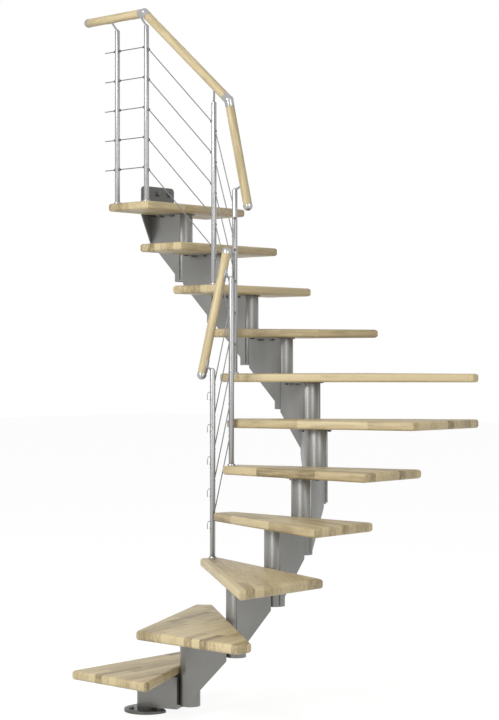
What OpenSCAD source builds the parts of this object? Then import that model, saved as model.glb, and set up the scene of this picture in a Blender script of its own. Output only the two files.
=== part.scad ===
// Staircase on one central stringer of bolted steel modules.
// Eleven wooden treads climb through a half turn to the left and end at a plate on the upper floor.
// The origin is on the floor under the first column; +X is the way of the first flight, +Z is up.

/* [Climb] */
// Height of one step
rise = 210; // [180:1:225]
// Step length along the upper flight
going = 223; // [205:1:250]
// Length of the straight treads
flight_w = 700; // [600:1:900]
// Clear width between the two straight flights
well = 255; // [200:1:350]
// Outer line of the turn, measured from the first column
turn_out = 850; // [750:1:1050]
// Centre of the turning path, measured back from the first column
turn_back = 50; // [30:1:90]

/* [Treads] */
// Thickness of a tread
tread_t = 40; // [30:1:45]
// Nosing line ahead of its column
nose_ahead = 100; // [85:1:130]
// Reach of a winder from its column towards the well
winder_reach = 415; // [400:1:450]
// Free space between a tread and the column behind it
tread_gap = 1; // [0.5:0.5:5]

/* [Stringer] */
// Outer radius of a column tube
tube_r = 44; // [38:1:50]
// Wall of a column tube
tube_wall = 4; // [3:0.5:6]
// Thickness of the side plates
cheek_t = 4; // [3:0.5:6]
// Start of the side plates ahead of the column axis
cheek_ahead = 18; // [10:1:22]
// Free end of the side plates before the next column axis
cheek_short = 42; // [40:1:46]
// Drop of a column below the top of its tread, in steps
column_drop = 1.82; // [1.7:0.01:1.85]
// Lowest front corner of a side plate below the top of its tread, in steps
cheek_drop = 1.79; // [1.6:0.01:1.8]
// Lowest rear corner of a side plate below the top of its tread, in steps
cheek_rear = 0.88; // [0.8:0.01:0.9]
// Depth of the curved seat that holds the next column
seat_t = 14; // [8:1:20]
// Free play between a column and its seat
seat_gap = 0.3; // [0.2:0.1:0.5]
// Thickness of the plate under a tread
plate_t = 6; // [5:1:10]
// Half width of the plate under a tread
plate_half = 78; // [60:1:90]
// Length of the plate behind the column axis
plate_back = 132; // [100:1:134]
// Screw hole radius in the plate under a tread
screw_r = 4.5; // [3:0.5:6]

/* [Fixings] */
// Radius of the floor flange
flange_r = 100; // [90:1:120]
// Thickness of the floor flange
flange_t = 12; // [8:1:16]
// Pitch circle diameter of the flange bolts
flange_pcd = 142; // [130:1:160]
// Flat of the flange, from its centre
flange_flat = 65; // [60:1:80]
// Radius of the anchor bolt holes
anchor_r = 6.5; // [5:0.5:8]
// Width of the upper fixing plate
wall_w = 230; // [200:1:280]
// Thickness of the upper fixing plate
wall_t = 10; // [8:1:14]
// Rise of the upper fixing plate above the last tread
wall_up = 107; // [90:1:130]
// Spacing of the anchor bolts in the upper fixing plate
wall_pitch = 85; // [60:1:90]

/* [Railing] */
// Outer radius of a post
post_r = 12.5; // [10:0.5:20]
// Wall of a post tube
post_wall = 2; // [1.5:0.5:3]
// Height of a post above its tread
post_h = 850; // [780:1:950]
// Radius of the handrail
rail_r = 21; // [18:0.5:25]
// Radius of the handrail's metal joints and end caps
joint_r = 22; // [20:0.5:26]
// Length of a sleeve on the handrail
sleeve = 30; // [24:1:40]
// Sideways offset of the handrail from the posts
rail_side = 53; // [45:1:70]
// Radius of an infill rod
rod_r = 2.5; // [2:0.5:4]
// Lowest infill rod above the tread
rod_low = 168; // [120:1:200]
// Spacing of the infill rods
rod_pitch = 147; // [100:1:155]
// Free tail of a rod past the last post
rod_tail = 55; // [30:1:80]

/* [Hidden] */
$fn = 48;

steps = 11;
path_r = (flight_w + well) / 2;
floor_gap = 25;
cap_h = 8;
arm_r = 5;
rods = 5;
eps = 0.01;

// Plan: place of each column on the turning path, as degrees turned, then on the straight upper flight
path_turn = [0, 31, 55, 77.5, 99.5, 124, 151.5, 178];
// Plan: way of climbing across each nosing line
heading = [0, 26, 51, 71, 90, 108, 126, 152, 180, 180, 180, 180];
// Plan: way along the inner end of each tread, and what a winder adds to the common reach
end_heading = [0, 38, 61, 81, 102, 117, 139, 180, 180, 180, 180];
end_more = [0, -15, 21, -17, -10, 0, 0, 0, 0, 0, 0];

function on_path(turn) = [path_r * sin(turn) - turn_back, path_r * (1 - cos(turn))];
function last_turned() = len(path_turn);
function column(k) =
    k == 1 ? [0, 0]
    : k <= last_turned() ? on_path(path_turn[k - 1])
    : [on_path(path_turn[last_turned() - 1])[0] - going * (k - last_turned()), 2 * path_r];
function way(k) = column(k + 1) - column(k);
function turned(k) = atan2(way(k)[1], way(k)[0]);
function ahead(angle) = [cos(angle), sin(angle)];
function inward(angle) = [-sin(angle), cos(angle)];
function top(k) = k * rise;
function tread_under(k) = top(k) - tread_t;

// Outline of a tread: the stair's outer box cut by its nosing, its back edge and its inner end
function cut(shape, at, out) = [
    for (i = [0 : len(shape) - 1])
        let (p = shape[i], q = shape[(i + 1) % len(shape)], dp = (p - at) * out, dq = (q - at) * out)
            each concat(dp <= 0 ? [p] : [], dp * dq < 0 ? [p + (q - p) * dp / (dp - dq)] : [])
];
function back_at(k) = column(k + 1) - (tube_r + tread_gap) * ahead(heading[k]);
function nose_at(k) = column(k) - nose_ahead * ahead(heading[k - 1]);
function straight(k) = k == 1 || k >= last_turned();
function reach(k) = straight(k) ? flight_w / 2 : winder_reach + end_more[k - 1];
function end_way(k) = end_heading[k - 1];
function end_at(k) = column(k) + reach(k) * inward(end_way(k));
function stair_box() =
    let (far = -turn_back - going * steps, low = -flight_w / 2, high = 2 * path_r + flight_w / 2)
        [[far, low], [turn_out, low], [turn_out, high], [far, high]];
function tread_outline(k) =
    cut(cut(cut(stair_box(), nose_at(k), -ahead(heading[k - 1])), back_at(k), ahead(heading[k])),
        end_at(k), inward(end_way(k)));

module tread(k) {
    color("burlywood")
        translate([0, 0, tread_under(k)])
            linear_extrude(tread_t)
                polygon(tread_outline(k));
}

// Stringer module in its own frame: the column on the axis, the next column along +X
module tube(low, high) {
    translate([0, 0, low])
        difference() {
            cylinder(h = high - low, r = tube_r);
            translate([0, 0, -1])
                cylinder(h = high - low + 2, r = tube_r - tube_wall);
        }
}

module cheek(k, side, end) {
    high = tread_under(k) - plate_t;
    front_low = max(top(k) - cheek_drop * rise, floor_gap);
    rear_low = max(top(k) - cheek_rear * rise, floor_gap);
    translate([0, side > 0 ? tube_r + cheek_t : -tube_r, 0])
        rotate([90, 0, 0])
            linear_extrude(cheek_t)
                polygon([[-cheek_ahead, front_low], [end, rear_low], [end, high], [-cheek_ahead, high]]);
    // folded front edge that joins the side plate to the tube
    inner = sqrt(pow(tube_r - tube_wall / 2, 2) - pow(cheek_ahead, 2));
    translate([-cheek_ahead, side > 0 ? inner : -tube_r - cheek_t, front_low])
        cube([cheek_t, tube_r + cheek_t - inner, high - front_low]);
}

module tread_plate(k) {
    low = tread_under(k) - plate_t;
    corner = 15;
    difference() {
        translate([0, 0, low])
            linear_extrude(plate_t)
                polygon([
                    [-cheek_ahead, -plate_half + corner], [-cheek_ahead + corner, -plate_half],
                    [plate_back - corner, -plate_half], [plate_back, -plate_half + corner],
                    [plate_back, plate_half - corner], [plate_back - corner, plate_half],
                    [-cheek_ahead + corner, plate_half], [-cheek_ahead, plate_half - corner]
                ]);
        for (x = [28, 104], side = [-1, 1])
            translate([x, side * (tube_r + cheek_t + plate_half) / 2, low - 1])
                cylinder(h = plate_t + 2, r = screw_r);
    }
}

module next_seat(k, span) {
    low = max(top(k) - cheek_rear * rise, floor_gap);
    high = tread_under(k) - plate_t;
    difference() {
        translate([span - tube_r - seat_t, -tube_r - eps, low])
            cube([tube_r + seat_t - cheek_short, 2 * tube_r + 2 * eps, high - low]);
        translate([span, 0, low - 1])
            cylinder(h = high - low + 2, r = tube_r + seat_gap);
    }
}

module nose_cap(k) {
    low = tread_under(k) - plate_t;
    translate([0, 0, low])
        cylinder(h = plate_t, r = tube_r);
}

module stringer(k) {
    last = k == steps;
    span = last ? wall_face() - abs(column(k)[0]) : norm(way(k));
    end = last ? span : span - cheek_short;
    low = k == 1 ? flange_t : top(k) - column_drop * rise;
    color("silver")
        translate([column(k)[0], column(k)[1], 0])
            rotate([0, 0, last ? 180 : turned(k)]) {
                tube(low, tread_under(k) - plate_t);
                for (side = [-1, 1])
                    cheek(k, side, end);
                tread_plate(k);
                nose_cap(k);
                if (!last)
                    next_seat(k, span);
            }
}

// Floor flange under the first column, with a flat on its climbing side
module floor_flange() {
    color("dimgray")
        difference() {
            cylinder(h = flange_t, r = flange_r);
            for (turn = [0, 120, 240])
                rotate([0, 0, turn])
                    translate([flange_pcd / 2, 0, -1])
                        cylinder(h = flange_t + 2, r = anchor_r);
            rotate([0, 0, 60])
                translate([flange_flat, -flange_r, -1])
                    cube([flange_r, 2 * flange_r, flange_t + 2]);
        }
}

// Distance of the upper floor plate's near face from the first column, against the climb
function wall_face() = abs(column(steps + 1)[0]) - tube_r;

module upper_floor_plate() {
    corner = 20;
    high = top(steps) + wall_up;
    foot = top(steps) - cheek_rear * rise;
    half = wall_w / 2;
    foot_half = tube_r + cheek_t;
    color("dimgray")
        translate([-wall_face(), 2 * path_r, 0])
            rotate([90, 0, -90])
                difference() {
                    linear_extrude(wall_t)
                        union() {
                            polygon([
                                [-foot_half, foot], [foot_half, foot], [half, top(steps) - tread_t],
                                [half, high - corner], [half - corner, high - corner], [half - corner, high],
                                [corner - half, high], [corner - half, high - corner], [-half, high - corner],
                                [-half, top(steps) - tread_t]
                            ]);
                            for (side = [-1, 1])
                                translate([side * (half - corner), high - corner])
                                    circle(r = corner);
                        }
                    for (place = [-1, 0, 1])
                        translate([place * wall_pitch, high - 35, -1])
                            cylinder(h = wall_t + 2, r = anchor_r);
                }
}

// Railing: a post stands on a tread, a distance in from its inner end and along it
function post_at(k, inset, along) =
    let (at = column(k) + (reach(k) - inset) * inward(end_way(k)) + along * ahead(end_way(k)))
        [at[0], at[1], top(k)];
post_foot = [
    post_at(11, 28, 145), post_at(11, 28, -60), post_at(9, 28, -65),
    post_at(7, 62, 12), post_at(5, 16, 35), post_at(3, 22, 27)
];

// Handrail centre line, tied to the posts
rail_y = post_foot[0][1] - rail_side;
rail_up = post_h + 58;
rail_start = [post_foot[0][0] - 175, rail_y, top(11) + rail_up];
rail_top = [post_foot[1][0] + 40, rail_y, top(11) + rail_up];
rail_bend = [post_foot[3][0] + 14, rail_y + 2, top(7) + post_h + 420];
rail_foot = [post_foot[3][0] + 84, post_foot[3][1] + 4, top(7) + post_h - 94];
lower_top = [post_foot[4][0] - 45, post_foot[4][1] + 23, top(5) + post_h + 152];
lower_foot = [post_foot[5][0] - 58, post_foot[5][1] - 17, top(3) + post_h - 37];

// Turn what points along +Z to point from a to b
module along(a, b) {
    v = b - a;
    translate(a)
        rotate([0, acos(v[2] / norm(v)), atan2(v[1], v[0])])
            children();
}

function step_to(a, b, d) = a + (b - a) / norm(b - a) * d;

module bar(a, b, r) {
    along(a, b)
        cylinder(h = norm(b - a), r = r);
}

function nearest(p, a, b) =
    let (v = b - a, t = max(0.05, min(0.95, ((p - a) * v) / (v * v))))
        a + t * v;

module post(i, a, b) {
    foot = post_foot[i];
    head = foot + [0, 0, post_h];
    seat = nearest(head + [0, 0, 20], a, b);
    color("lightgray") {
        translate(foot)
            difference() {
                cylinder(h = post_h, r = post_r);
                translate([0, 0, -1])
                    cylinder(h = post_h + 2, r = post_r - post_wall);
            }
        translate(head)
            cylinder(h = cap_h, r = post_r);
        difference() {
            union() {
                translate(head + [0, 0, cap_h])
                    sphere(r = 9);
                bar(head + [0, 0, cap_h], seat, arm_r);
            }
            bar(a, b, rail_r + 0.2);
        }
    }
}

module handrail(a, b) {
    color("burlywood")
        bar(step_to(a, b, sleeve), step_to(b, a, sleeve), rail_r);
}

module elbow(a, at, b) {
    color("silver") {
        translate(at)
            sphere(r = joint_r + 1);
        bar(at, step_to(at, a, sleeve), joint_r);
        bar(at, step_to(at, b, sleeve), joint_r);
    }
}

module rail_end(at, next) {
    color("silver")
        along(step_to(at, next, sleeve), at) {
            cylinder(h = sleeve - joint_r, r = joint_r);
            translate([0, 0, sleeve - joint_r])
                rotate_extrude()
                    intersection() {
                        circle(r = joint_r);
                        square(joint_r);
                    }
        }
}

// Infill: straight rods between the surfaces of two posts, with tails past an end post
module infill(i, j, tail_i, tail_j) {
    color("gainsboro")
        difference() {
            for (n = [0 : rods - 1]) {
                up = [0, 0, rod_low + n * rod_pitch];
                a = post_foot[i] + up;
                b = post_foot[j] + up;
                bar(step_to(a, b, -tail_i), step_to(b, a, -tail_j), rod_r);
            }
            for (p = [post_foot[i], post_foot[j]])
                translate(p)
                    cylinder(h = post_h + cap_h, r = post_r + seat_gap);
        }
}

tread(1);  // tread_01
tread(2);  // tread_02
tread(3);  // tread_03
tread(4);  // tread_04
tread(5);  // tread_05
tread(6);  // tread_06
tread(7);  // tread_07
tread(8);  // tread_08
tread(9);  // tread_09
tread(10);  // tread_10
tread(11);  // tread_11
stringer(1);  // stringer_01
stringer(2);  // stringer_02
stringer(3);  // stringer_03
stringer(4);  // stringer_04
stringer(5);  // stringer_05
stringer(6);  // stringer_06
stringer(7);  // stringer_07
stringer(8);  // stringer_08
stringer(9);  // stringer_09
stringer(10);  // stringer_10
stringer(11);  // stringer_11
floor_flange();
upper_floor_plate();
post(0, rail_start, rail_top);  // post_a
post(1, rail_start, rail_top);  // post_b
post(2, rail_top, rail_bend);  // post_c
post(3, rail_bend, rail_foot);  // post_d
post(4, lower_top, lower_foot);  // post_e
post(5, lower_top, lower_foot);  // post_f
handrail(rail_start, rail_top);  // handrail_landing
handrail(rail_top, rail_bend);  // handrail_upper
handrail(rail_bend, rail_foot);  // handrail_turn
handrail(lower_top, lower_foot);  // handrail_lower
elbow(rail_start, rail_top, rail_bend);  // rail_elbow_top
elbow(rail_top, rail_bend, rail_foot);  // rail_elbow_turn
rail_end(rail_start, rail_top);  // rail_end_landing
rail_end(rail_foot, rail_bend);  // rail_end_turn
rail_end(lower_top, lower_foot);  // rail_end_lower_top
rail_end(lower_foot, lower_top);  // rail_end_lower_foot
infill(0, 1, rod_tail + 32, 0);  // rods_ab
infill(1, 2, 0, 0);  // rods_bc
infill(2, 3, 0, 0);  // rods_cd
infill(3, 4, 0, 0);  // rods_de
infill(4, 5, 0, rod_tail);  // rods_ef
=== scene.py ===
import bpy, math
from mathutils import Matrix, Vector


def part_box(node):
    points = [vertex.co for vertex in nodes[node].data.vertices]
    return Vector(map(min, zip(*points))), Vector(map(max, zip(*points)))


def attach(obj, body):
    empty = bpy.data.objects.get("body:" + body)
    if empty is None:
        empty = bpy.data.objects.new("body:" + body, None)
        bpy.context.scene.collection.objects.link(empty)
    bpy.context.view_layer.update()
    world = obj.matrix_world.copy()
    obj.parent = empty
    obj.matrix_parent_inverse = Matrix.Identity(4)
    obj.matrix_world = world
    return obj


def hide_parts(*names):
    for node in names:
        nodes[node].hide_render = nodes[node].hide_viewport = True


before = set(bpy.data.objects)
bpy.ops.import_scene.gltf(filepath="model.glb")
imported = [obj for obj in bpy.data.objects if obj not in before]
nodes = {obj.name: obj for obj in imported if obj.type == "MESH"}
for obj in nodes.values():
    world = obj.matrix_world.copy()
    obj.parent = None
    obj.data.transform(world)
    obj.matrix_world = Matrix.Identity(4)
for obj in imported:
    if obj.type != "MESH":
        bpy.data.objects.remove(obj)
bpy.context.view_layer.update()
print("frame loaded:", len(nodes), "nodes")

stair = {
    "steps": 11,
    "rise": 0.210,
    "going": 0.223,
    "pathRadius": 0.4775,          # turning path of the columns
    "turnBack": 0.050,
    "pathTurn": [0, 31, 55, 77.5, 99.5, 124, 151.5, 178],
    "treadThickness": 0.040,
    "postRadius": 0.0125,
}


def columnAt(k):
    turned = len(stair["pathTurn"])
    if k == 1:
        return Vector((0, 0, 0))
    turn = math.radians(stair["pathTurn"][min(k, turned) - 1])
    x = stair["pathRadius"] * math.sin(turn) - stair["turnBack"]
    y = stair["pathRadius"] * (1 - math.cos(turn))
    if k > turned:
        return Vector((x - stair["going"] * (k - turned), 2 * stair["pathRadius"], 0))
    return Vector((x, y, 0))


def moduleTurn(k):
    way = columnAt(k + 1) - columnAt(k)
    return math.pi if k == stair["steps"] else math.atan2(way.y, way.x)


# Selecting, bevelling and placing

def deselectAll():
    if bpy.context.object and bpy.context.object.mode != "OBJECT":
        bpy.ops.object.mode_set(mode="OBJECT")
    bpy.ops.object.select_all(action="DESELECT")


def activate(piece):
    deselectAll()
    piece.select_set(True)
    bpy.context.view_layer.objects.active = piece


def selectEdges(piece, wanted):
    bpy.ops.mesh.select_mode(type="EDGE")
    bpy.ops.mesh.select_all(action="DESELECT")
    bpy.ops.object.mode_set(mode="OBJECT")
    points = piece.data.vertices
    for edge in piece.data.edges:
        edge.select = wanted(points[edge.vertices[0]].co, points[edge.vertices[1]].co)
    bpy.ops.object.mode_set(mode="EDIT")


def selectFaces(piece, wanted):
    bpy.ops.mesh.select_mode(type="FACE")
    bpy.ops.mesh.select_all(action="DESELECT")
    bpy.ops.object.mode_set(mode="OBJECT")
    for face in piece.data.polygons:
        face.select = wanted(face)
    bpy.ops.object.mode_set(mode="EDIT")


def applyModifiers(piece):
    activate(piece)
    for modifier in list(piece.modifiers):
        bpy.ops.object.modifier_apply(modifier=modifier.name)


def bevelled(piece, width, segments, angle=35):
    modifier = piece.modifiers.new("edge", "BEVEL")
    modifier.width = width
    modifier.segments = segments
    modifier.limit_method = "ANGLE"
    modifier.angle_limit = math.radians(angle)
    modifier.use_clamp_overlap = True
    applyModifiers(piece)


def smoothed(piece, angle=32):
    activate(piece)
    bpy.ops.object.shade_smooth_by_angle(angle=math.radians(angle))


def copyOfNode(node, name):
    piece = bpy.data.objects.new(name, nodes[node].data.copy())
    bpy.context.scene.collection.objects.link(piece)
    activate(piece)
    bpy.ops.mesh.customdata_custom_splitnormals_clear()
    bpy.ops.object.mode_set(mode="EDIT")
    bpy.ops.mesh.select_all(action="SELECT")
    bpy.ops.mesh.remove_doubles(threshold=0.00001)
    bpy.ops.mesh.dissolve_limited(angle_limit=math.radians(0.5))
    bpy.ops.object.mode_set(mode="OBJECT")
    return piece


def finishPiece(piece, material, replaced=()):
    piece.data.materials.clear()
    piece.data.materials.append(material)
    for face in piece.data.polygons:
        face.material_index = 0
    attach(piece, "root")
    if replaced:
        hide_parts(*replaced)


def joined(pieces, name):
    deselectAll()
    for piece in pieces:
        piece.select_set(True)
    bpy.context.view_layer.objects.active = pieces[0]
    bpy.ops.object.join()
    whole = bpy.context.object
    whole.name = name
    whole.data.name = name
    return whole


def placedCopy(model, matrix):
    piece = bpy.data.objects.new(model.name + "Copy", model.data.copy())
    piece.data.transform(matrix)
    bpy.context.scene.collection.objects.link(piece)
    return piece


def pointing(at, direction):
    turn = Vector((0, 0, 1)).rotation_difference(direction).to_matrix().to_4x4()
    return Matrix.Translation(at) @ turn


# Shader nodes, short to write

class Shader:
    def __init__(self, name):
        self.material = bpy.data.materials.new(name)
        self.material.use_nodes = True
        self.tree = self.material.node_tree
        self.surface = self.tree.nodes["Principled BSDF"]

    def node(self, kind, **settings):
        made = self.tree.nodes.new(kind)
        for key, value in settings.items():
            setattr(made, key, value)
        return made

    def link(self, output, socket):
        self.tree.links.new(output, socket)

    def math(self, operation, a, b=0.0):
        made = self.node("ShaderNodeMath", operation=operation)
        for socket, value in zip(made.inputs, (a, b)):
            if isinstance(value, (int, float)):
                socket.default_value = value
            else:
                self.link(value, socket)
        return made.outputs[0]

    def combine(self, x, y, z):
        made = self.node("ShaderNodeCombineXYZ")
        for socket, value in zip(made.inputs, (x, y, z)):
            if isinstance(value, (int, float)):
                socket.default_value = value
            else:
                self.link(value, socket)
        return made.outputs[0]

    def noise(self, vector, scale, detail=3, roughness=0.5, distortion=0):
        made = self.node("ShaderNodeTexNoise")
        made.inputs["Scale"].default_value = scale
        made.inputs["Detail"].default_value = detail
        made.inputs["Roughness"].default_value = roughness
        made.inputs["Distortion"].default_value = distortion
        self.link(vector, made.inputs["Vector"])
        return made.outputs["Fac"]

    def ramp(self, value, stops):
        made = self.node("ShaderNodeValToRGB")
        elements = made.color_ramp.elements
        while len(elements) < len(stops):
            elements.new(0.5)
        for element, (place, colour) in zip(elements, stops):
            element.position = place
            element.color = (*colour, 1)
        self.link(value, made.inputs["Fac"])
        return made.outputs["Color"]

    def mix(self, factor, a, b):
        made = self.node("ShaderNodeMix", data_type="RGBA")
        for name, value in (("Factor", factor), ("A", a), ("B", b)):
            socket = [s for s in made.inputs if s.name == name and s.enabled][0]
            if isinstance(value, (int, float)):
                socket.default_value = value
            elif isinstance(value, tuple):
                socket.default_value = (*value, 1)
            else:
                self.link(value, socket)
        return [s for s in made.outputs if s.enabled][0]

    def bump(self, height, strength, distance):
        made = self.node("ShaderNodeBump")
        made.inputs["Strength"].default_value = strength
        made.inputs["Distance"].default_value = distance
        self.link(height, made.inputs["Height"])
        self.link(made.outputs["Normal"], self.surface.inputs["Normal"])

    def coordinates(self, grain=None, centre=None):
        where = self.node("ShaderNodeTexCoord")
        mapping = self.node("ShaderNodeMapping", vector_type="TEXTURE")
        if grain is not None:
            if grain.x < 0:
                grain = -grain  # a half turn could tip the pattern on its side
            turn = Vector((1, 0, 0)).rotation_difference(grain)
            mapping.inputs["Rotation"].default_value = turn.to_euler()
        if centre is not None:
            mapping.inputs["Location"].default_value = centre
        self.link(where.outputs["Object"], mapping.inputs["Vector"])
        return mapping.outputs["Vector"]


woodLook = {
    "staveWidth": 0.042,
    "staveLength": 0.34,
    "seam": 0.0006,
    "pale": (0.60, 0.492, 0.29),
    "middle": (0.41, 0.325, 0.178),
    "dark": (0.15, 0.108, 0.05),
    "seamColour": (0.27, 0.20, 0.11),
    "knot": (0.10, 0.06, 0.03),
    "roughness": 0.5,
}


def woodMaterial(name, grain, centre, staves=True, seed=0.0):
    look = woodLook
    made = Shader(name)
    place = made.coordinates(grain, centre)
    split = made.node("ShaderNodeSeparateXYZ")
    made.link(place, split.inputs[0])
    along, across, up = split.outputs
    if staves:
        row = made.math("FLOOR", made.math("DIVIDE", across, look["staveWidth"]))
        rowNoise = made.node("ShaderNodeTexWhiteNoise", noise_dimensions="1D")
        made.link(made.math("ADD", row, seed), rowNoise.inputs["W"])
        shifted = made.math("ADD", along, made.math("MULTIPLY", rowNoise.outputs["Value"], 3.1))
        brick = made.node("ShaderNodeTexBrick", offset=0.0, squash=1.0)
        sizes = {
            "Scale": 1,
            "Mortar Size": look["seam"],
            "Mortar Smooth": 0.4,
            "Bias": 0.0,
            "Brick Width": look["staveLength"],
            "Row Height": look["staveWidth"],
        }
        for key, value in sizes.items():
            brick.inputs[key].default_value = value
        brick.inputs["Color1"].default_value = (0, 0, 0, 1)
        brick.inputs["Color2"].default_value = (1, 1, 1, 1)
        brick.inputs["Mortar"].default_value = (0.5, 0.5, 0.5, 1)
        made.link(made.combine(shifted, across, 0.0), brick.inputs["Vector"])
        tone = made.math("ADD", made.math("MULTIPLY", brick.outputs["Color"], 0.6),
                         made.math("MULTIPLY", rowNoise.outputs["Value"], 0.4))
        seam = brick.outputs["Fac"]
    else:
        tone = 0.5
        seam = None
    jump = made.math("MULTIPLY", tone, 37.0)
    grainPlace = made.combine(made.math("ADD", made.math("MULTIPLY", along, 5.0), jump),
                              made.math("ADD", made.math("MULTIPLY", across, 95.0), jump),
                              made.math("ADD", made.math("MULTIPLY", up, 42.0), seed))
    fibrePlace = made.combine(made.math("MULTIPLY", along, 40.0), made.math("MULTIPLY", across, 900.0),
                              made.math("MULTIPLY", up, 420.0))
    grainLines = made.noise(grainPlace, 1.0, 5, 0.62, 0.6)
    fibre = made.noise(fibrePlace, 1.0, 2, 0.5)
    cloud = made.noise(place, 9.0, 2, 0.5)
    shade = made.math("ADD", made.math("MULTIPLY", grainLines, 0.56), made.math("MULTIPLY", fibre, 0.14))
    shade = made.math("ADD", shade, made.math("MULTIPLY", cloud, 0.12))
    shade = made.math("ADD", shade, made.math("MULTIPLY", tone, 0.40))
    colour = made.ramp(shade, [(0.34, look["dark"]), (0.51, look["middle"]), (0.68, look["pale"])])
    knots = made.node("ShaderNodeTexVoronoi", feature="F1")
    knots.inputs["Scale"].default_value = 1.0
    made.link(made.combine(made.math("ADD", made.math("MULTIPLY", along, 5.5), seed),
                           made.math("MULTIPLY", across, 9.0), made.math("MULTIPLY", up, 6.0)),
              knots.inputs["Vector"])
    knotStops = [(0.0, (1, 1, 1)), (0.022, (0.7, 0.7, 0.7)), (0.06, (0, 0, 0))]
    knotMask = made.ramp(knots.outputs["Distance"], knotStops)
    colour = made.mix(made.math("MULTIPLY", knotMask, 0.8), colour, look["knot"])
    if seam is not None:
        colour = made.mix(made.math("MULTIPLY", seam, 0.55), colour, look["seamColour"])
    made.link(colour, made.surface.inputs["Base Color"])
    made.link(made.math("ADD", made.math("MULTIPLY", grainLines, 0.16), look["roughness"] - 0.08),
              made.surface.inputs["Roughness"])
    made.surface.inputs["Coat Weight"].default_value = 0.08
    made.surface.inputs["Coat Roughness"].default_value = 0.3
    made.bump(made.math("ADD", grainLines, made.math("MULTIPLY", fibre, 0.5)), 0.12, 0.0008)
    return made.material


def metalMaterial(name, colour, metallic, roughness, relief=0.10):
    made = Shader(name)
    place = made.coordinates()
    cloud = made.noise(place, 6.0, 3, 0.55)
    fine = made.noise(place, 700.0, 2, 0.6)
    low = tuple(c * 0.96 for c in colour)
    high = tuple(c * 1.04 for c in colour)
    made.link(made.ramp(cloud, [(0.3, low), (0.7, high)]), made.surface.inputs["Base Color"])
    made.surface.inputs["Metallic"].default_value = metallic
    spread = made.math("ADD", made.math("MULTIPLY", cloud, 0.08), made.math("MULTIPLY", fine, 0.06))
    made.link(made.math("ADD", spread, roughness - 0.07), made.surface.inputs["Roughness"])
    made.bump(fine, relief, 0.0003)
    return made.material


moduleSteel = metalMaterial("moduleSteel", (0.245, 0.245, 0.235), 0.60, 0.36)
fixingSteel = metalMaterial("fixingSteel", (0.13, 0.13, 0.122), 0.5, 0.40)
postSteel = metalMaterial("postSteel", (0.36, 0.36, 0.36), 0.75, 0.30, relief=0.01)
rodSteel = metalMaterial("rodSteel", (0.19, 0.19, 0.19), 0.7, 0.34, relief=0.01)
jointMetal = metalMaterial("jointMetal", (0.42, 0.42, 0.42), 0.85, 0.25, relief=0.02)
boltSteel = metalMaterial("boltSteel", (0.14, 0.14, 0.14), 0.75, 0.33)
print("materials made")


# Treads

treadShape = {
    "nosing": 0.0115,              # radius of the rounded edge
    "nosingSegments": 7,
    "corner": 0.0022,
    "staveTurn": [0, 12, 51, 71, 90, 108, 126, 152, 180, 180, 180],
}


def makeTread(k):
    node = "tread_%02d" % k
    piece = copyOfNode(node, "treadBoard%02d" % k)
    bpy.ops.object.mode_set(mode="EDIT")
    selectEdges(piece, lambda a, b: abs(a.z - b.z) < 0.0001)
    bpy.ops.mesh.bevel(offset=treadShape["nosing"], segments=treadShape["nosingSegments"], profile=0.5,
                       affect="EDGES", clamp_overlap=True)
    bpy.ops.object.mode_set(mode="OBJECT")
    bevelled(piece, treadShape["corner"], 2, 25)
    smoothed(piece)
    turn = math.radians(treadShape["staveTurn"][k - 1] + 90)
    low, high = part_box(node)
    wood = woodMaterial("treadWood%02d" % k, Vector((math.cos(turn), math.sin(turn), 0)), (low + high) / 2,
                        seed=k * 3.7)
    finishPiece(piece, wood, [node])


for k in range(1, stair["steps"] + 1):
    makeTread(k)
print("treads made")


# Stringer modules and fixings

steelShape = {"edge": 0.0009, "segments": 2}


def makeSteel(node, name, material, width=steelShape["edge"]):
    piece = copyOfNode(node, name)
    bevelled(piece, width, steelShape["segments"], 40)
    smoothed(piece, 35)
    finishPiece(piece, material, [node])


for k in range(1, stair["steps"] + 1):
    makeSteel("stringer_%02d" % k, "stringerModule%02d" % k, moduleSteel)
makeSteel("floor_flange", "floorFlange", fixingSteel, 0.0015)
makeSteel("upper_floor_plate", "upperFloorPlate", fixingSteel, 0.0015)
print("stringer made")

boltShape = {
    "screwRadius": 0.0090,
    "screwHeight": 0.0095,
    "screwAlong": [0.028, 0.104],  # along the module from its column
    "screwAside": 0.063,
    "plate": 0.006,
    "hexRadius": 0.0105,
    "hexHeight": 0.0075,
    "washerRadius": 0.0135,
    "washer": 0.0022,
    "flangeRadius": 0.071,
    "anchorSpacing": 0.085,
    "anchorDrop": 0.035,
}


def makeDisc(sides, radius, low, height):
    deselectAll()
    bpy.ops.mesh.primitive_cylinder_add(vertices=sides, radius=radius, depth=height,
                                        location=(0, 0, low + height / 2))
    bpy.ops.object.transform_apply(location=True, rotation=True, scale=True)
    return bpy.context.object


def makeScrewHead():
    high = boltShape["screwHeight"]
    head = makeDisc(24, boltShape["screwRadius"], 0, high)
    bpy.ops.object.mode_set(mode="EDIT")
    selectFaces(head, lambda face: face.normal.z > 0.9)
    bpy.ops.mesh.inset(thickness=boltShape["screwRadius"] * 0.5)
    bpy.ops.mesh.extrude_region_move(TRANSFORM_OT_translate={"value": (0, 0, -high * 0.5)})
    bpy.ops.object.mode_set(mode="OBJECT")
    bevelled(head, 0.0012, 3, 50)
    smoothed(head, 40)
    return head


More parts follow.
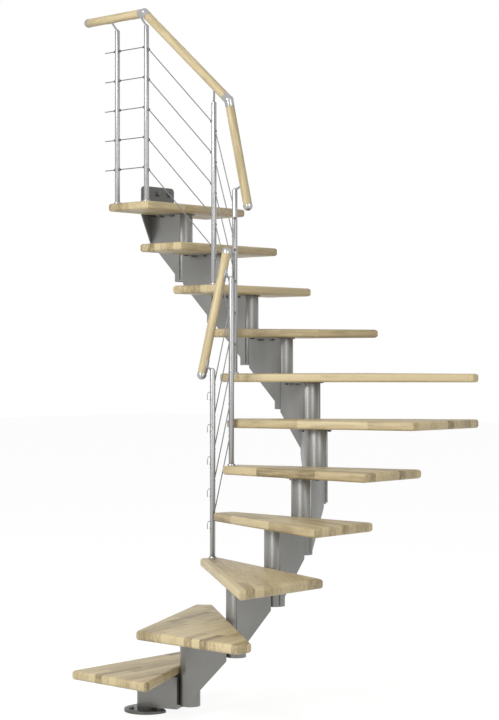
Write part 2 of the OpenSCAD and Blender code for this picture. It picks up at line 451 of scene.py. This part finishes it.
def makeAnchorHead():
    washer = makeDisc(28, boltShape["washerRadius"], 0, boltShape["washer"])
    head = makeDisc(6, boltShape["hexRadius"], boltShape["washer"], boltShape["hexHeight"])
    bpy.ops.object.mode_set(mode="EDIT")
    selectFaces(head, lambda face: face.normal.z > 0.9)
    bpy.ops.mesh.inset(thickness=0.0012)
    bpy.ops.mesh.extrude_region_move(TRANSFORM_OT_translate={"value": (0, 0, 0.0008)})
    bpy.ops.object.mode_set(mode="OBJECT")
    for part in (washer, head):
        bevelled(part, 0.0005, 2, 40)
        smoothed(part, 35)
    return joined([washer, head], "anchorHead")


def copies(model, matrices, name):
    return joined([placedCopy(model, matrix) for matrix in matrices], name)


screwHead = makeScrewHead()
for k in range(1, stair["steps"] + 1):
    under = k * stair["rise"] - stair["treadThickness"] - boltShape["plate"]
    turn = Matrix.Rotation(moduleTurn(k), 4, "Z")
    spots = [columnAt(k) + turn @ Vector((x, side * boltShape["screwAside"], 0)) + Vector((0, 0, under))
             for x in boltShape["screwAlong"] for side in (-1, 1)]
    downward = [pointing(spot, Vector((0, 0, -1))) for spot in spots]
    screws = copies(screwHead, downward, "plateScrews%02d" % k)
    finishPiece(screws, boltSteel)
bpy.data.objects.remove(screwHead)

anchorHead = makeAnchorHead()
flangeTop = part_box("floor_flange")[1].z
spots = [Vector((math.cos(math.radians(a)) * boltShape["flangeRadius"],
                 math.sin(math.radians(a)) * boltShape["flangeRadius"], flangeTop)) for a in (0, 120, 240)]
finishPiece(copies(anchorHead, [pointing(spot, Vector((0, 0, 1))) for spot in spots], "floorAnchors"),
            boltSteel)
plateLow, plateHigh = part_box("upper_floor_plate")
spots = [Vector((plateHigh.x, (plateLow.y + plateHigh.y) / 2 + side * boltShape["anchorSpacing"],
                 plateHigh.z - boltShape["anchorDrop"])) for side in (-1, 0, 1)]
finishPiece(copies(anchorHead, [pointing(spot, Vector((1, 0, 0))) for spot in spots], "upperFloorAnchors"),
            boltSteel)
bpy.data.objects.remove(anchorHead)
print("bolts made")


# Railing

def axisOf(node):
    points = [v.co.copy() for v in nodes[node].data.vertices]
    centre = sum(points, Vector()) / len(points)
    far = max(points, key=lambda p: (p - centre).length) - centre
    ends = [[p for p in points if (p - centre).dot(far) * side > 0] for side in (-1, 1)]
    return [sum(end, Vector()) / len(end) for end in ends]


railShape = {"radius": 0.021, "saddleLength": 0.060, "saddleWidth": 0.016, "saddleThickness": 0.0025}

rails = {key: "handrail_" + key for key in ("landing", "upper", "turn", "lower")}
railAxis = {key: axisOf(node) for key, node in rails.items()}
for key, node in rails.items():
    start, end = railAxis[key]
    piece = copyOfNode(node, "handrail" + key.capitalize())
    bevelled(piece, 0.0012, 2, 50)
    smoothed(piece, 40)
    wood = woodMaterial("railWood" + key.capitalize(), (end - start).normalized(), start, staves=False,
                        seed=11.3 + 2.9 * len(key))
    finishPiece(piece, wood, [node])

for node in ("rail_elbow_top", "rail_elbow_turn", "rail_end_landing", "rail_end_turn",
             "rail_end_lower_top", "rail_end_lower_foot"):
    words = node.split("_")
    piece = copyOfNode(node, words[0] + "".join(w.capitalize() for w in words[1:]))
    smoothed(piece, 40)
    finishPiece(piece, jointMetal, [node])
print("handrail made")

for letter in "abcdef":
    piece = copyOfNode("post_" + letter, "post" + letter.upper())
    bevelled(piece, 0.0006, 2, 50)
    smoothed(piece, 40)
    finishPiece(piece, postSteel, ["post_" + letter])
for span in ("ab", "bc", "cd", "de", "ef"):
    piece = copyOfNode("rods_" + span, "rods" + span.upper())
    smoothed(piece, 40)
    finishPiece(piece, rodSteel, ["rods_" + span])
print("posts and rods made")

fittingShape = {
    "postHeight": 0.850,
    "collarRadius": 0.0185,
    "collarHeight": 0.007,
    "clampRadius": 0.0065,
    "clampLength": 0.011,
    "rodLow": 0.168,
    "rodPitch": 0.147,
    "rodCount": 5,
    "tailRadius": 0.0016,
    "tailDrop": 0.036,
}


def postFoot(letter):
    low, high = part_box("post_" + letter)
    ring = [v.co for v in nodes["post_" + letter].data.vertices if v.co.z < low.z + 0.0005]
    return Vector(((min(p.x for p in ring) + max(p.x for p in ring)) / 2,
                   (min(p.y for p in ring) + max(p.y for p in ring)) / 2, low.z))


def taperEnd(piece, end, length, scale):
    # draw one end face of a turned part out along Z and make it smaller
    bpy.ops.object.mode_set(mode="EDIT")
    selectFaces(piece, lambda face: face.normal.z * end > 0.9)
    bpy.ops.mesh.extrude_region_move(TRANSFORM_OT_translate={"value": (0, 0, end * length)})
    bpy.ops.transform.resize(value=(scale, scale, 1), center_override=(0, 0, 0))
    bpy.ops.object.mode_set(mode="OBJECT")


feet = {letter: postFoot(letter) for letter in "abcdef"}
collarRadius, collarHeight = fittingShape["collarRadius"], fittingShape["collarHeight"]
postRadius = stair["postRadius"]
collar = makeDisc(28, collarRadius, 0, collarHeight * 0.55)
taperEnd(collar, 1, collarHeight * 0.45, 1 - 0.0015 / collarRadius)
smoothed(collar, 40)
for letter in "abcdef":
    foot = placedCopy(collar, Matrix.Translation(feet[letter]))
    foot.name = "footCollar" + letter.upper()
    finishPiece(foot, postSteel)
bpy.data.objects.remove(collar)

clampRadius, clampLength = fittingShape["clampRadius"], fittingShape["clampLength"]
clamp = makeDisc(28, clampRadius, clampLength * 0.2, clampLength * 0.6)
taperEnd(clamp, 1, clampLength * 0.2, 0.8)
taperEnd(clamp, -1, clampLength * 0.2, 0.8)
smoothed(clamp, 40)


def rodHeights():
    return [Vector((0, 0, fittingShape["rodLow"] + n * fittingShape["rodPitch"]))
            for n in range(fittingShape["rodCount"])]


def clampsBetween(first, second):
    places = []
    for up in rodHeights():
        a, b = feet[first] + up, feet[second] + up
        way = (b - a).normalized()
        flat = max(0.4, math.hypot(way.x, way.y))
        reach = (postRadius - 0.001) / flat
        places += [pointing(a + way * reach, way), pointing(b - way * reach, -way)]
    return places


outward = (feet["a"] - feet["b"]).normalized()
for first, second in ("ab", "bc", "cd", "de", "ef"):
    places = clampsBetween(first, second)
    if first == "a":
        face = feet["a"] + outward * (postRadius - 0.001)
        places += [pointing(face + up, outward) for up in rodHeights()]
    if second == "f":
        for up in rodHeights():
            way = (feet["f"] - feet["e"]).normalized()
            flat = max(0.4, math.hypot(way.x, way.y))
            places.append(pointing(feet["f"] + up + way * (postRadius - 0.001) / flat, way))
    clamps = copies(clamp, places, "rodClamps" + first.upper() + second.upper())
    finishPiece(clamps, boltSteel)
bpy.data.objects.remove(clamp)
print("clamps and collars made")


def makeTails():
    # short wire ends that hang from the rods just past the lowest post
    way = feet["f"] - feet["e"]
    way.z = 0
    way.normalize()
    parts = []
    for up in rodHeights():
        start = feet["f"] + up
        drop = fittingShape["tailDrop"]
        points = [start + way * (postRadius - 0.001), start + way * 0.021,
                  start + way * 0.026 + Vector((0, 0, -drop * 0.4)),
                  start + way * 0.024 + Vector((0, 0, -drop))]
        curve = bpy.data.curves.new("tail", "CURVE")
        curve.dimensions = "3D"
        curve.bevel_depth = fittingShape["tailRadius"]
        curve.bevel_resolution = 3
        curve.use_fill_caps = True
        spline = curve.splines.new("BEZIER")
        spline.bezier_points.add(len(points) - 1)
        for point, at in zip(spline.bezier_points, points):
            point.co = at
            point.handle_left_type = "VECTOR"
            point.handle_right_type = "VECTOR"
        tail = bpy.data.objects.new("tail", curve)
        bpy.context.scene.collection.objects.link(tail)
        activate(tail)
        bpy.ops.object.convert(target="MESH")
        smoothed(bpy.context.object, 50)
        parts.append(bpy.context.object)
    finishPiece(joined(parts, "rodTails"), rodSteel)


makeTails()


def makeSaddle(letter, railKey):
    # a curved plate under the handrail where the post's arm meets it
    start, end = railAxis[railKey]
    way = (end - start).normalized()
    head = feet[letter] + Vector((0, 0, fittingShape["postHeight"] + 0.020))
    along = (head - start).dot(way)
    along = max(0.035, min((end - start).length - 0.035, along))
    seat = start + way * along
    toPost = head - seat
    toPost -= way * toPost.dot(way)
    toPost.normalize()
    side = way.cross(toPost)
    inner = railShape["radius"] + 0.0002
    halfTurn = railShape["saddleWidth"] / 2 / inner
    deselectAll()
    bpy.ops.mesh.primitive_plane_add(size=1)
    piece = bpy.context.object
    piece.name = "railSaddle" + letter.upper()
    piece.data.name = piece.name
    # X along the rail, Z from the rail's axis to the post
    piece.data.transform(Matrix.Translation((0, 0, inner + railShape["saddleThickness"] / 2))
                         @ Matrix.Rotation(math.pi / 2, 4, "X")
                         @ Matrix.Diagonal((railShape["saddleLength"], railShape["saddleThickness"], 1, 1)))
    piece.data.transform(Matrix.Rotation(halfTurn, 4, "X"))
    bpy.ops.object.mode_set(mode="EDIT")
    bpy.ops.mesh.select_all(action="SELECT")
    bpy.ops.mesh.spin(steps=8, angle=2 * halfTurn, center=(0, 0, 0), axis=(1, 0, 0))
    bpy.ops.mesh.select_all(action="SELECT")
    bpy.ops.mesh.normals_make_consistent(inside=False)
    bpy.ops.object.mode_set(mode="OBJECT")
    frameTurn = Matrix((way, -side, toPost)).transposed().to_4x4()
    piece.data.transform(Matrix.Translation(seat) @ frameTurn)
    bevelled(piece, 0.0006, 2, 50)
    smoothed(piece, 40)
    finishPiece(piece, jointMetal)


for letter, railKey in (("a", "landing"), ("b", "landing"), ("c", "upper"), ("d", "turn"),
                        ("e", "lower"), ("f", "lower")):
    makeSaddle(letter, railKey)
print("saddles made")

# Floor, light and camera

studio = {
    "floorSize": 60.0,
    "camera": (5.431, -5.388, 1.5377),
    "azimuth": 41.87,
    "lens": 87.25,
    "shift": -0.00137,
    "world": 0.34,
}

lamps = {
    "keyLamp": {"place": (0.5, -6.5, 5.5), "target": (0, 0.5, 1.4), "size": 3.0, "power": 420},
    "stripLamp": {"place": (1.6, -7.2, 1.6), "target": (0.1, 0.3, 1.3), "size": 1.2, "power": 70},
    "fillLamp": {"place": (6.5, -1.0, 3.0), "target": (0, 0.5, 1.4), "size": 3.0, "power": 90},
}


def makeFloor():
    deselectAll()
    bpy.ops.mesh.primitive_plane_add(size=studio["floorSize"], location=(0, 0, 0))
    floor = bpy.context.object
    floor.name = "studioFloor"
    made = Shader("studioFloor")
    made.surface.inputs["Base Color"].default_value = (0.8, 0.8, 0.8, 1)
    made.surface.inputs["Roughness"].default_value = 0.9
    path = made.node("ShaderNodeLightPath")
    mirrored = made.math("MAXIMUM", path.outputs["Is Glossy Ray"], path.outputs["Is Transmission Ray"])
    seen = made.math("MAXIMUM", path.outputs["Is Camera Ray"], mirrored)
    white = made.node("ShaderNodeEmission")
    white.inputs["Strength"].default_value = 0.90
    shadow = made.node("ShaderNodeBsdfDiffuse")
    shadow.inputs["Color"].default_value = (0.22, 0.22, 0.22, 1)
    pale = made.node("ShaderNodeAddShader")
    made.link(white.outputs[0], pale.inputs[0])
    made.link(shadow.outputs[0], pale.inputs[1])
    choose = made.node("ShaderNodeMixShader")
    made.link(seen, choose.inputs[0])
    made.link(made.surface.outputs[0], choose.inputs[1])
    made.link(pale.outputs[0], choose.inputs[2])
    output = [n for n in made.tree.nodes if n.type == "OUTPUT_MATERIAL"][0]
    made.link(choose.outputs[0], output.inputs["Surface"])
    floor.data.materials.append(made.material)


def makeWorld():
    world = bpy.data.worlds.new("studio")
    bpy.context.scene.world = world
    world.use_nodes = True
    tree = world.node_tree
    background = tree.nodes["Background"]
    path = tree.nodes.new("ShaderNodeLightPath")
    seen = tree.nodes.new("ShaderNodeMath")
    seen.operation = "MAXIMUM"
    both = tree.nodes.new("ShaderNodeMath")
    both.operation = "MAXIMUM"
    tree.links.new(path.outputs["Is Glossy Ray"], both.inputs[0])
    tree.links.new(path.outputs["Is Transmission Ray"], both.inputs[1])
    tree.links.new(path.outputs["Is Camera Ray"], seen.inputs[0])
    tree.links.new(both.outputs[0], seen.inputs[1])
    strength = tree.nodes.new("ShaderNodeMapRange")
    strength.inputs["To Min"].default_value = studio["world"]
    strength.inputs["To Max"].default_value = 1.0
    tree.links.new(seen.outputs[0], strength.inputs["Value"])
    tree.links.new(strength.outputs["Result"], background.inputs["Strength"])
    background.inputs["Color"].default_value = (1, 1, 1, 1)


def makeLamp(name, place, target, size, power):
    deselectAll()
    bpy.ops.object.light_add(type="AREA", location=place)
    lamp = bpy.context.object
    lamp.name = name
    lamp.data.shape = "SQUARE"
    lamp.data.size = size
    lamp.data.energy = power
    lamp.rotation_euler = (Vector(target) - Vector(place)).to_track_quat("-Z", "Y").to_euler()


def makeCamera():
    deselectAll()
    turn = (math.pi / 2, 0, math.radians(studio["azimuth"]))
    bpy.ops.object.camera_add(location=studio["camera"], rotation=turn)
    camera = bpy.context.object
    camera.data.sensor_width = 36
    camera.data.lens = studio["lens"]
    camera.data.shift_y = studio["shift"]
    camera.data.clip_end = 200
    camera.data.dof.use_dof = False
    bpy.context.scene.camera = camera


makeFloor()
makeWorld()
for lampName, lamp in lamps.items():
    makeLamp(lampName, lamp["place"], lamp["target"], lamp["size"], lamp["power"])
makeCamera()
bpy.context.scene.view_settings.view_transform = "Standard"
print("studio made")
